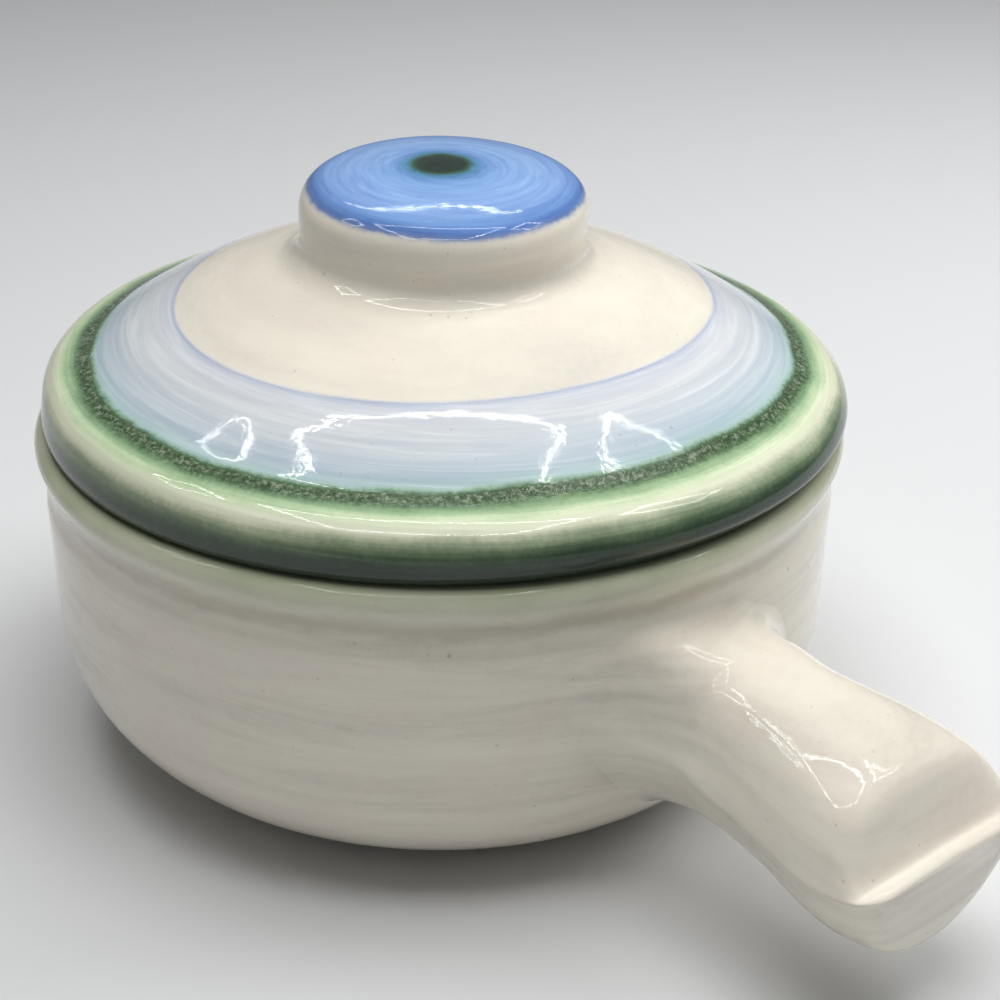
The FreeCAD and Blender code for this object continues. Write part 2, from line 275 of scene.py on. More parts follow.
def wheel_tree():
    tree = bpy.data.node_groups.new("Thrown on the wheel", "GeometryNodeTree")
    face = tree.interface
    for kind, names in (("Geometry", ["Outline"]), ("Int", ["Steps round"]),
                        ("Float", ["Throwing line depth", "Throwing line pitch", "Unevenness",
                                   "Seed", "Tip", "Lean", "Shift", "Seat height"]),
                        ("Vector", ["Askew towards"]), ("Material", ["Glaze"])):
        for name in names:
            face.new_socket(name, in_out="INPUT", socket_type="NodeSocket" + kind)
    face.new_socket("Pot", in_out="OUTPUT", socket_type="NodeSocketGeometry")
    given = add(tree, "NodeGroupInput").outputs

    # A grid with a row for each point of the outline and a column for each step round
    count = add(tree, "GeometryNodeAttributeDomainSize", {"Geometry": given["Outline"]})
    count = count.outputs["Point Count"]
    columns = add(tree, "ShaderNodeMath", {0: given["Steps round"], 1: 1.0}, operation="ADD")
    grid = add(tree, "GeometryNodeMeshGrid", {"Size X": 1.0, "Size Y": 1.0,
                                              "Vertices X": columns.outputs[0],
                                              "Vertices Y": count})
    place = add(tree, "ShaderNodeVectorMath", {
        0: add(tree, "GeometryNodeInputPosition").outputs[0], 1: (0.5, 0.5, 0.0)}, operation="ADD")
    place = add(tree, "ShaderNodeSeparateXYZ", {0: place.outputs[0]})
    last = add(tree, "ShaderNodeMath", {0: count, 1: 1.0}, operation="SUBTRACT")
    row = add(tree, "ShaderNodeMath", {0: place.outputs["Y"], 1: last.outputs[0]},
              operation="MULTIPLY")
    row = add(tree, "ShaderNodeMath", {0: row.outputs[0]}, operation="ROUND")
    point = add(tree, "GeometryNodeSampleIndex", {
        "Geometry": given["Outline"], "Index": row.outputs[0],
        "Value": add(tree, "GeometryNodeInputPosition").outputs[0]}, data_type="FLOAT_VECTOR")
    run = add(tree, "GeometryNodeInputNamedAttribute", {"Name": "run"}, data_type="FLOAT")
    run = add(tree, "GeometryNodeSampleIndex", {
        "Geometry": given["Outline"], "Index": row.outputs[0],
        "Value": run.outputs["Attribute"]}, data_type="FLOAT").outputs["Value"]
    angle = add(tree, "ShaderNodeMath", {0: place.outputs["X"], 1: 2 * math.pi},
                operation="MULTIPLY").outputs[0]
    turned = add(tree, "ShaderNodeVectorRotate", {
        "Vector": point.outputs["Value"], "Axis": (0.0, 0.0, 1.0), "Angle": angle},
        rotation_type="AXIS_ANGLE").outputs[0]
    pot = add(tree, "GeometryNodeStoreNamedAttribute", {
        "Geometry": grid.outputs["Mesh"], "Name": "run", "Value": run}, data_type="FLOAT")
    pot = add(tree, "GeometryNodeSetPosition", {"Geometry": pot.outputs[0], "Position": turned})
    pot = add(tree, "GeometryNodeMergeByDistance", {"Geometry": pot.outputs[0],
                                                    "Distance": 0.01 * MM})

    # Throwing lines go round with the clay, and a slower unevenness goes with the hand
    here = add(tree, "GeometryNodeInputPosition").outputs[0]
    apart = add(tree, "ShaderNodeSeparateXYZ", {0: here})
    flat = add(tree, "ShaderNodeCombineXYZ", {"X": apart.outputs["X"], "Y": apart.outputs["Y"]})
    way = add(tree, "ShaderNodeVectorMath", {0: flat.outputs[0]}, operation="NORMALIZE")
    kept = add(tree, "GeometryNodeInputNamedAttribute", {"Name": "run"}, data_type="FLOAT")
    rise = add(tree, "ShaderNodeMath", {0: kept.outputs["Attribute"],
                                        1: given["Throwing line pitch"]}, operation="DIVIDE")
    rise = add(tree, "ShaderNodeCombineXYZ", {"Z": rise.outputs[0]})
    ring_place = add(tree, "ShaderNodeVectorMath", {0: way.outputs[0], 1: (0.7, 0.7, 0.0),
                                                    2: rise.outputs[0]}, operation="MULTIPLY_ADD")
    rings = add(tree, "ShaderNodeTexNoise", {"Vector": ring_place.outputs[0], "W": given["Seed"],
                                             "Scale": 1.0, "Detail": 2.0}, noise_dimensions="4D")
    hand = add(tree, "ShaderNodeTexNoise", {"Vector": here, "W": given["Seed"], "Scale": 28.0,
                                            "Detail": 1.0}, noise_dimensions="4D")
    # Both patterns run from 0 to 1, and 0.5 leaves the clay where it is
    ring_move = add(tree, "ShaderNodeMath", {0: rings.outputs[0], 1: 0.5}, operation="SUBTRACT")
    ring_move = add(tree, "ShaderNodeMath", {0: ring_move.outputs[0],
                                             1: given["Throwing line depth"]}, operation="MULTIPLY")
    hand_move = add(tree, "ShaderNodeMath", {0: hand.outputs[0], 1: 0.5}, operation="SUBTRACT")
    move = add(tree, "ShaderNodeMath", {0: hand_move.outputs[0], 1: given["Unevenness"],
                                        2: ring_move.outputs[0]}, operation="MULTIPLY_ADD")
    # Near the axis and on the foot the clay stays true
    off_axis = add(tree, "ShaderNodeVectorMath", {0: flat.outputs[0]}, operation="LENGTH")
    off_axis = add(tree, "ShaderNodeMapRange", {
        "Value": off_axis.outputs["Value"], "From Max": 12 * MM}, interpolation_type="SMOOTHSTEP")
    off_foot = add(tree, "ShaderNodeMapRange", {
        "Value": apart.outputs["Z"], "From Min": 2 * MM, "From Max": 8 * MM},
        interpolation_type="SMOOTHSTEP")
    for share in (off_axis, off_foot):
        move = add(tree, "ShaderNodeMath", {0: move.outputs[0], 1: share.outputs[0]},
                   operation="MULTIPLY")
    out = add(tree, "ShaderNodeVectorMath", {0: add(tree, "GeometryNodeInputNormal").outputs[0],
                                             "Scale": move.outputs[0]}, operation="SCALE")
    pot = add(tree, "GeometryNodeSetPosition", {"Geometry": pot.outputs[0],
                                                "Offset": out.outputs[0]})

    # A lid that lies askew shifts and tips, while what touches the rim stays on it
    here = add(tree, "GeometryNodeInputPosition").outputs[0]
    apart = add(tree, "ShaderNodeSeparateXYZ", {0: here})
    above = add(tree, "ShaderNodeMath", {0: apart.outputs["Z"], 1: given["Seat height"]},
                operation="SUBTRACT")
    above = add(tree, "ShaderNodeMath", {0: above.outputs[0], 1: 0.0}, operation="MAXIMUM")
    above = above.outputs[0]
    share = add(tree, "ShaderNodeMapRange", {"Value": above, "From Max": 5 * MM},
                interpolation_type="SMOOTHSTEP")
    along = add(tree, "ShaderNodeVectorMath", {0: here, 1: given["Askew towards"]},
                operation="DOT_PRODUCT")
    drop = along.outputs["Value"]
    for factor in (given["Tip"], share.outputs[0], -1.0):
        drop = add(tree, "ShaderNodeMath", {0: drop, 1: factor}, operation="MULTIPLY").outputs[0]
    lean = add(tree, "ShaderNodeMath", {0: above, 1: given["Lean"], 2: given["Shift"]},
               operation="MULTIPLY_ADD")
    lean = add(tree, "ShaderNodeMath", {0: lean.outputs[0], 1: share.outputs[0]},
               operation="MULTIPLY")
    sideways = add(tree, "ShaderNodeVectorMath", {0: given["Askew towards"],
                                                  "Scale": lean.outputs[0]}, operation="SCALE")
    down = add(tree, "ShaderNodeCombineXYZ", {"Z": drop})
    moved = add(tree, "ShaderNodeVectorMath", {0: sideways.outputs[0], 1: down.outputs[0]},
                operation="ADD")
    pot = add(tree, "GeometryNodeSetPosition", {"Geometry": pot.outputs[0],
                                                "Offset": moved.outputs[0]})
    pot = add(tree, "GeometryNodeSetShadeSmooth", {"Geometry": pot.outputs[0]})
    pot = add(tree, "GeometryNodeRealizeInstances", {"Geometry": pot.outputs[0]})
    pot = add(tree, "GeometryNodeSetMaterial", {"Geometry": pot.outputs[0],
                                                "Material": given["Glaze"]})
    add(tree, "NodeGroupOutput", {"Pot": pot.outputs[0]})
    return tree


def thrown(name, outline, tree, settings):
    """A pot made on the wheel from its outline, as a plain mesh of its own."""
    source = outline_object(name + "_outline", outline)
    wheel = source.modifiers.new("wheel", "NODES")
    wheel.node_group = tree
    sockets = {item.name: item.identifier for item in tree.interface.items_tree
               if item.in_out == "INPUT"}
    for setting, value in settings.items():
        wheel[sockets[setting]] = value
    ready = source.evaluated_get(bpy.context.evaluated_depsgraph_get())
    mesh = bpy.data.meshes.new_from_object(ready)
    mesh.name = name
    bpy.data.objects.remove(source)
    return placed(name, mesh)


def clamped(share):
    return min(max(share, 0.0), 1.0)


def between(low, high, share):
    share = clamped(share)
    return low + (high - low) * share * share * (3 - 2 * share)


def shell_of(piece):
    return BVHTree.FromPolygons([v.co.copy() for v in piece.data.vertices],
                                [tuple(p.vertices) for p in piece.data.polygons])


def lute_to_dome(knob, outline, lid):
    """The knob's top is tipped, and its foot is smoothed into the dome, so there it keeps its
    height above the dome as the lid really has it."""
    dome, runs = shell_of(lid), runs_back(outline, MM)
    for vertex, run in zip(knob.data.vertices, knob.data.attributes["run"].data):
        nearest = min(range(len(runs)), key=lambda i: abs(runs[i] - run.value))
        radius, height = outline[-1 - nearest]
        # The luting acts from 26.2 mm out, on the flare of the foot, and the tip from 92 mm up
        share = between(0, 1, (radius - 26.2) / 3.0)
        raised = between(0, 1, (height - 92) / 6)
        vertex.co.z -= vertex.co.dot(KNOB_TIP_TOWARDS) * KNOB_TIP * raised
        if share > 0 and run.value < runs[-1] - 33 * MM:      # not on its flat underside
            above = Vector((vertex.co.x, vertex.co.y, 0.2))
            hit = dome.ray_cast(above, Vector((0, 0, -1)))[0]
            wanted = hit.z + (height - on_dome(radius)[1]) * MM
            vertex.co.z += (wanted - vertex.co.z) * share


# The handle: an arched top and a rounder belly, with a lip between them that stands a little
# proud, and a fillet where it was luted to the wall

WAIST_WIDTH = 33.0
END_WIDTH = 42.0
END_CORNER = 8.2           # the round of the end's two corners, seen from above
TOP_RISE = 19.2            # from the ridge up to the top, at the wall
BELLY_DEPTH = (13.5, 17.4)  # from the ridge down, at the waist and where the end slope starts
ROOT_LIFT = 3.6            # the ridge rises by this much towards the wall
END_LIFT = 1.4             # and by this much towards the end
LIP = 0.9                  # how far the ridge stands out over the belly
LIP_RISE = 1.3             # how far the top turns up where it ends at the ridge
FAR_LEAN = math.radians(17)
NEAR_LEAN = math.radians(12)
BELLY_LEAN = math.radians(12)
SLOPE_LENGTH = 11.0
SLOPE_FOOT = 2.4           # the slope is down this far before the end, where the lip rises
FILLET_FROM = 8.7          # where the fillet leaves the grip, out from the wall
COLLAR = 51.4              # the bowl's wall stays straight up to this height
FILLET_ROWS = 28
GRIP_ROWS = 18
SLOPE_ROWS = 40
HALF_STEPS = 44            # steps round the upper half, and as many round the lower half


def wall_radius(height):
    """The bowl's outside at this height, up to the collar."""
    if height >= LOWER_ROUND:
        return BELLY + (WALL - BELLY) * clamped((height - LOWER_ROUND) / (COLLAR - LOWER_ROUND))
    rise = LOWER_ROUND - height
    return BELLY - LOWER_ROUND + math.sqrt(LOWER_ROUND ** 2 - rise ** 2)


def on_wall(across, height):
    return Vector((math.sqrt(wall_radius(height) ** 2 - across ** 2), across, height))


def grip_section(out, turn):
    """Across and height of a point on the handle, this far out and this far round."""
    waist = 0.25 * HANDLE_LENGTH
    to_end = HANDLE_LENGTH - out
    half = between(WAIST_WIDTH, END_WIDTH, (out - waist) / (HANDLE_LENGTH - 9 - waist)) / 2
    corner = clamped(1 - to_end / END_CORNER)
    half -= END_CORNER * (1 - (1 - corner ** 2.8) ** (1 / 2.8))
    root_lift = between(0, ROOT_LIFT, (18 - out) / 14)
    ridge = RIDGE + root_lift + between(0, END_LIFT, 1 - to_end / 12)
    slope_start = HANDLE_LENGTH - SLOPE_LENGTH
    quarter, within = divmod(turn / (math.pi / 2), 1.0)
    quarter = int(quarter) % 4
    share = within if quarter in (0, 2) else 1 - within
    side = 1 if quarter in (0, 3) else -1
    if quarter < 2:
        # The top sinks a little, then slopes down to the ridge, where it turns up to the lip
        rise = TOP_RISE - root_lift - 2.5 * clamped(out / 36) - 2 * clamped((out - 28) / 14) ** 2
        along = clamped((out - slope_start) / SLOPE_LENGTH)
        fallen = clamped((out - slope_start) / (SLOPE_LENGTH - SLOPE_FOOT)) ** 1.6
        rise *= math.cos(math.pi / 2 * fallen) ** 2
        rise += between(0, LIP_RISE, (along - 0.5) / 0.35) * math.sqrt(1 - along ** 12)
        rise = max(rise, 0.15)
        # The near flank is steeper and the top flatter there, and both round off at the end
        pull = 0.72 * rise
        last = between(0, 1, 1 - to_end / 14)
        lean, flat = (FAR_LEAN, 0.66) if side > 0 else (NEAR_LEAN, 0.76)
        lean, flat = lean + 0.22 * last, flat - 0.08 * last
        point = bezier((half, 0.0), (half - pull * math.sin(lean), pull * math.cos(lean)),
                       (half * flat, rise), (0.0, rise), share)
        return side * point[0], ridge + point[1]
    depth = between(*BELLY_DEPTH, (out - waist) / (slope_start - waist)) + root_lift
    along = clamped(1 - (HANDLE_LENGTH - LIP - out) / 4.5)
    depth = max(depth * (1 - along ** 3) ** (1 / 3), 0.15)
    under = LIP * clamped(out / FILLET_FROM - 1) * clamped(depth / 3)
    pull = 0.55 * depth
    point = bezier((half - under * clamped(share / 0.08), 0.0),
                   (half - under - pull * math.sin(BELLY_LEAN), -pull * math.cos(BELLY_LEAN)),
                   (half * 0.5, -depth), (0.0, -depth), share)
    return side * point[0], ridge + point[1]


def fillet_point(share, turn):
    """A point on the fillet: share 0 is on the grip and share 1 on the wall. The ridge runs on
    to the wall and rises there, and the belly meets the wall in a tighter round. The near side
    has a full, high shoulder, and the far side was pressed closer to the handle."""
    c, s = math.cos(turn), math.sin(turn)
    across, height = grip_section(FILLET_FROM, turn)
    grip = Vector((WALL + FILLET_FROM, across, height))
    shoulder = max(-2 * s * c, 0)
    corner = on_wall(across - 7 * shoulder, height + 7 * shoulder)
    far = between(1, 0.4, c / 0.5)
    if s >= 0:
        spread = Vector((0, 14.5 * far * math.copysign(abs(c) ** 1.2, c),
                         far * (6.8 * s + 9.4 * (1 - s))))
        pull = 0.6 + 0.2 * s + 0.15 * shoulder
    else:
        pull = 0.6
        ridge = (1 - abs(s)) ** 2.5
        spread = Vector((0, (6 + 8.5 * ridge) * far * math.copysign(abs(c) ** 1.2, c),
                         -3.3 * abs(s) + 9.4 * far * ridge))
    foot = on_wall(across + spread.y, height + spread.z + 3 * shoulder)
    normal = Vector((foot.x, foot.y, 0)).normalized()
    if foot.z < LOWER_ROUND:
        normal *= wall_radius(foot.z) - BELLY + LOWER_ROUND
        normal = (normal + Vector((0, 0, foot.z - LOWER_ROUND))).normalized()
    back = corner - foot
    back -= normal * back.dot(normal)
    return Vector(bezier(grip, grip + (corner - grip) * pull, foot + back * pull, foot, share))


def handle_mesh(bowl):
    """The handle from its fillet to its end. The fillet's last rows lie on the bowl's own wall."""
    wall = shell_of(bowl)
    # The steps round are closest where the top and the belly meet, at the ridge
    turns = []
    for i in range(HALF_STEPS):
        share = i / HALF_STEPS
        turns.append(math.pi * (share - 0.4 * math.sin(2 * math.pi * share) / (2 * math.pi)))
    turns += [turn + math.pi for turn in turns]
    rows = []
    for i in range(FILLET_ROWS + 1):
        share = 1 - i / FILLET_ROWS
        ring = [fillet_point(share, turn) for turn in turns]
        for n, point in enumerate(ring):
            nominal = on_wall(point.y, point.z)
            start = Vector((point.x + 30, point.y, point.z)) * MM
            hit = wall.ray_cast(start, Vector((-1, 0, 0)))[0]
            if hit is not None:
                sunk = 0.05 * between(0, 1, (share - 0.85) / 0.15)
                point.x += (hit.x / MM - nominal.x) * between(0, 1, share / 0.8) - sunk
            ring[n] = point
        rows.append(ring)
    slope_start = HANDLE_LENGTH - SLOPE_LENGTH
    outs = [FILLET_FROM + (slope_start - FILLET_FROM) * i / GRIP_ROWS
            for i in range(1, GRIP_ROWS + 1)]
    outs += [slope_start + SLOPE_LENGTH * math.sin(math.pi / 2 * i / SLOPE_ROWS)
             for i in range(1, SLOPE_ROWS + 1)]
    for out in outs:
        rows.append([Vector((WALL + out, *grip_section(out, turn))) for turn in turns])

    # The hand's unevenness, and the faint line that a tool left along the near flank
    for i in range(len(rows)):
        fade = between(0, 1, i / (FILLET_ROWS + 1)) * between(1, 0, (i - len(rows) + 12) / 12)
        for n, point in enumerate(rows[i]):
            outward = (point - Vector((point.x, 0, RIDGE + 2))).normalized()
            lump = noise.noise(point / 14) * 0.3 + noise.noise(point / 5 + Vector((9, 4, 2))) * 0.07
            mark = 0.0
            if i > FILLET_ROWS:
                mark = 0.16 * math.exp(-((math.degrees(turns[n]) - 158) / 3.5) ** 2)
            rows[i][n] = point + outward * (lump * fade + mark * fade)

    # The root closes inside the wall, where the clay of the two is one
    rows.insert(0, [point - Vector((point.x, point.y, 0)).normalized() for point in rows[0]])
    round_count = len(turns)
    points = [point * MM for ring in rows for point in ring]
    points.append(sum(points[:round_count], Vector()) / round_count)
    faces = [((n + 1) % round_count, n, len(points) - 1) for n in range(round_count)]
    for i in range(len(rows) - 1):
        for n in range(round_count):
            a, b = i * round_count + n, i * round_count + (n + 1) % round_count
            faces.append((a, b, b + round_count, a + round_count))
    # The end's upper and lower half rows close on each other, with a triangle at each side
    end = (len(rows) - 1) * round_count
    for n in range(HALF_STEPS):
        corners = (n, n + 1, round_count - n - 1, (round_count - n) % round_count)
        faces.append(tuple(dict.fromkeys(end + corner for corner in corners)))
    mesh = bpy.data.meshes.new("stick_handle")
    mesh.from_pydata(points, [], faces)
    mesh.validate()
    mesh.shade_smooth()
    return mesh


# Glazes

BARE_CLAY = "#B49A7C"


def way_out(tree, place):
    """Which way a place lies from the axis, level and of length 1."""
    way = add(tree, "ShaderNodeVectorMath", {0: place, 1: (1.0, 1.0, 0.0)}, operation="MULTIPLY")
    return add(tree, "ShaderNodeVectorMath", {0: way.outputs[0]}, operation="NORMALIZE").outputs[0]


def brushed_place(tree, round_scale, run_scale):
    """Where a brush held against the turning pot was: slow round the pot, quick across it."""
    spot = way_out(tree, add(tree, "ShaderNodeTexCoord").outputs["Object"])
    run = add(tree, "ShaderNodeAttribute", attribute_name="run").outputs["Fac"]
    run = add(tree, "ShaderNodeMath", {0: run, 1: run_scale}, operation="MULTIPLY").outputs[0]
    run = add(tree, "ShaderNodeCombineXYZ", {"Z": run}).outputs[0]
    spot = add(tree, "ShaderNodeVectorMath", {0: spot, 1: (round_scale, round_scale, 0.0), 2: run},
               operation="MULTIPLY_ADD")
    return spot.outputs[0]


def stoneware(name, paint):
    """A glazed stoneware material. paint(tree, place) gives the colour, how glazed each place is
    and how much the glaze has gone to crystals there. The glaze adds iron specks, pits where
    bubbles burst, a high gloss and the fine dimples that break up a lamp's reflection."""
    material = bpy.data.materials.new(name)
    material.use_nodes = True
    tree = material.node_tree
    tree.nodes.clear()
    place = add(tree, "ShaderNodeTexCoord").outputs["Object"]
    colour, glazed, crystals = paint(tree, place)

    # Iron specks up to 0.4 mm wide about every 2 mm, of uneven size and strength
    cells = add(tree, "ShaderNodeTexVoronoi", {"Vector": place, "Scale": 1 / (2.1 * MM)})
    chance = add(tree, "ShaderNodeSeparateColor", {0: cells.outputs["Color"]})
    size = add(tree, "ShaderNodeMapRange", {"Value": chance.outputs[0], "From Min": 0.3,
                                            "From Max": 1.0, "To Min": 0.0, "To Max": 0.11})
    speck = add(tree, "ShaderNodeMath", {0: size.outputs[0], 1: cells.outputs["Distance"]},
                operation="SUBTRACT")
    speck = add(tree, "ShaderNodeMapRange", {"Value": speck.outputs[0], "From Min": -0.06,
                                             "From Max": 0.08, "To Max": 0.45})
    speck = add(tree, "ShaderNodeMath", {0: speck.outputs[0], 1: chance.outputs[1]},
                operation="MULTIPLY")
    colour = add(tree, "ShaderNodeMix", {"Factor": speck.outputs[0], 6: colour,
                                         7: linear("#7A6A50")}, data_type="RGBA").outputs[2]
    # Pits 0.8 mm wide, one in each 14 mm or so
    holes = add(tree, "ShaderNodeTexVoronoi", {"Vector": place, "Scale": 1 / (14 * MM)})
    pit = add(tree, "ShaderNodeMapRange", {"Value": holes.outputs["Distance"], "From Min": 0.01,
                                           "From Max": 0.035, "To Min": 1.0, "To Max": 0.0},
              interpolation_type="SMOOTHSTEP").outputs[0]
    tint = add(tree, "ShaderNodeMath", {0: pit, 1: 0.35}, operation="MULTIPLY")
    colour = add(tree, "ShaderNodeMix", {"Factor": tint.outputs[0], 6: colour,
                                         7: linear("#6C5E4A")}, data_type="RGBA").outputs[2]

    # Ripples 6 mm wide in the glaze, dimples 1.3 mm wide, and crystals of 0.5 mm
    ripple = add(tree, "ShaderNodeTexNoise", {"Vector": place, "Scale": 1 / (6 * MM),
                                              "Detail": 2.0, "Roughness": 0.4})
    dimples = add(tree, "ShaderNodeTexNoise", {"Vector": place, "Scale": 1 / (1.3 * MM),
                                               "Detail": 1.0})
    grit = add(tree, "ShaderNodeTexNoise", {"Vector": place, "Scale": 1 / (0.5 * MM),
                                            "Detail": 1.0})
    gloss = add(tree, "ShaderNodeMapRange", {"Value": ripple.outputs[0], "From Min": 0.3,
                                             "From Max": 0.7, "To Min": 0.05, "To Max": 0.1})
    gloss = add(tree, "ShaderNodeMath", {0: crystals, 1: 0.06, 2: gloss.outputs[0]},
                operation="MULTIPLY_ADD")
    rough = add(tree, "ShaderNodeMix", {"Factor": glazed, 2: 0.75, 3: gloss.outputs[0]})
    rise = add(tree, "ShaderNodeMath", {0: grit.outputs[0], 1: crystals}, operation="MULTIPLY")
    height = ripple.outputs[0]
    for relief, strength in ((dimples.outputs[0], 0.24), (pit, -0.8), (rise.outputs[0], 1.6)):
        height = add(tree, "ShaderNodeMath", {0: relief, 1: strength, 2: height},
                     operation="MULTIPLY_ADD").outputs[0]
    bump = add(tree, "ShaderNodeBump", {"Height": height, "Strength": 1.0, "Distance": 0.07 * MM})
    shader = add(tree, "ShaderNodeBsdfPrincipled", {
        "Base Color": colour, "Roughness": rough.outputs[0], "IOR": 1.52,
        "Normal": bump.outputs[0]})
    add(tree, "ShaderNodeOutputMaterial", {"Surface": shader.outputs[0]})
    return material


def off_white(tree, place, thinnest):
    """Warm off-white tin glaze, thinner and duller in streaks that follow the throwing."""
    streak_place = add(tree, "ShaderNodeMapping", {"Vector": place, "Scale": (16.0, 16.0, 170.0)})
    streaks = add(tree, "ShaderNodeTexNoise", {"Vector": streak_place.outputs[0], "Scale": 1.0,
                                               "Detail": 5.0, "Roughness": 0.65,
                                               "Distortion": 0.4})
    colour = add(tree, "ShaderNodeValToRGB", {0: streaks.outputs[0]},
                 stops=[(0.3, thinnest), (0.5, "#E6E0D1"), (0.7, "#F0EADA")])
    # Clouds about 25 mm wide where the glaze pooled, some of them a little pink
    clouds = add(tree, "ShaderNodeTexNoise", {"Vector": place, "Scale": 1 / (25 * MM),
                                              "Detail": 4.0})
    cloud = add(tree, "ShaderNodeMapRange", {"Value": clouds.outputs[0], "From Min": 0.45,
                                             "From Max": 0.7, "To Max": 0.55})
    colour = add(tree, "ShaderNodeMix", {"Factor": cloud.outputs[0], 6: colour.outputs[0],
                                         7: linear("#E6D9CC")}, data_type="RGBA").outputs[2]
    # Milky mottling of 2 mm in the melt
    milk = add(tree, "ShaderNodeTexNoise", {"Vector": place, "Scale": 1 / (2 * MM),
                                            "Detail": 3.0, "Roughness": 0.7})
    milk = add(tree, "ShaderNodeMapRange", {"Value": milk.outputs[0], "From Min": 0.35,
                                            "From Max": 0.7, "To Max": 0.3})
    return add(tree, "ShaderNodeMix", {"Factor": milk.outputs[0], 6: colour,
                                       7: linear("#EFE9DE")}, data_type="RGBA").outputs[2]


def wander(tree, place, width, reach):
    """How far a painted edge strays from its line, in metres: reach at most, in waves this wide."""
    waves = add(tree, "ShaderNodeTexNoise", {"Vector": place, "Scale": 1 / width,
                                             "Detail": 4.0, "Roughness": 0.6})
    waves = add(tree, "ShaderNodeMath", {0: waves.outputs[0], 1: 0.5}, operation="SUBTRACT")
    return add(tree, "ShaderNodeMath", {0: waves.outputs[0], 1: 2 * reach},
               operation="MULTIPLY").outputs[0]


def bowl_paint(tree, place):
    colour = off_white(tree, place, "#D1CBBD")
    parts = add(tree, "ShaderNodeSeparateXYZ", {0: place})
    # Pale green that ran down from the lip into the groove
    height = add(tree, "ShaderNodeMath", {0: parts.outputs["Z"],
                                          1: wander(tree, place, 17 * MM, 2.5 * MM)},
                 operation="ADD")
    green = add(tree, "ShaderNodeValToRGB", {0: add(tree, "ShaderNodeMapRange", {
        "Value": height.outputs[0], "From Min": 45 * MM, "From Max": 65 * MM}).outputs[0]},
        stops=[(0.2, 0.0), (0.5, 0.08), (0.72, 0.3), (0.82, 0.5), (0.92, 0.85)])
    colour = add(tree, "ShaderNodeMix", {"Factor": green.outputs[0], 6: colour,
                                         7: linear("#A9B492")}, data_type="RGBA").outputs[2]
    # Painted shade: a band 3 mm wide along the groove is painted darker, for the shade in it
    groove = add(tree, "ShaderNodeMapRange", {"Value": height.outputs[0], "From Min": 52 * MM,
                                              "From Max": 60 * MM}).outputs[0]
    groove = add(tree, "ShaderNodeValToRGB", {0: groove}, stops=[
        (0.2, 0.0), (0.42, 0.42), (0.6, 0.42), (0.85, 0.0)]).outputs[0]
    colour = add(tree, "ShaderNodeMix", {"Factor": groove, 6: colour, 7: linear("#9C9480")},
                 data_type="RGBA").outputs[2]
    # The foot ring was wiped bare before the firing
    bare_edge = add(tree, "ShaderNodeMath", {0: wander(tree, place, 8 * MM, 0.6 * MM),
                                             1: 0.9 * MM}, operation="ADD")
    glazed = add(tree, "ShaderNodeMath", {0: parts.outputs["Z"], 1: bare_edge.outputs[0]},
                 operation="GREATER_THAN").outputs[0]
    colour = add(tree, "ShaderNodeMix", {"Factor": glazed, 6: linear(BARE_CLAY), 7: colour},
                 data_type="RGBA").outputs[2]
    return colour, glazed, 0.0


def roll_at(angle):
    turn = math.radians(angle)
    return (ROLL_AT[0] + ROLL * math.cos(turn), ROLL_AT[1] + ROLL * math.sin(turn))


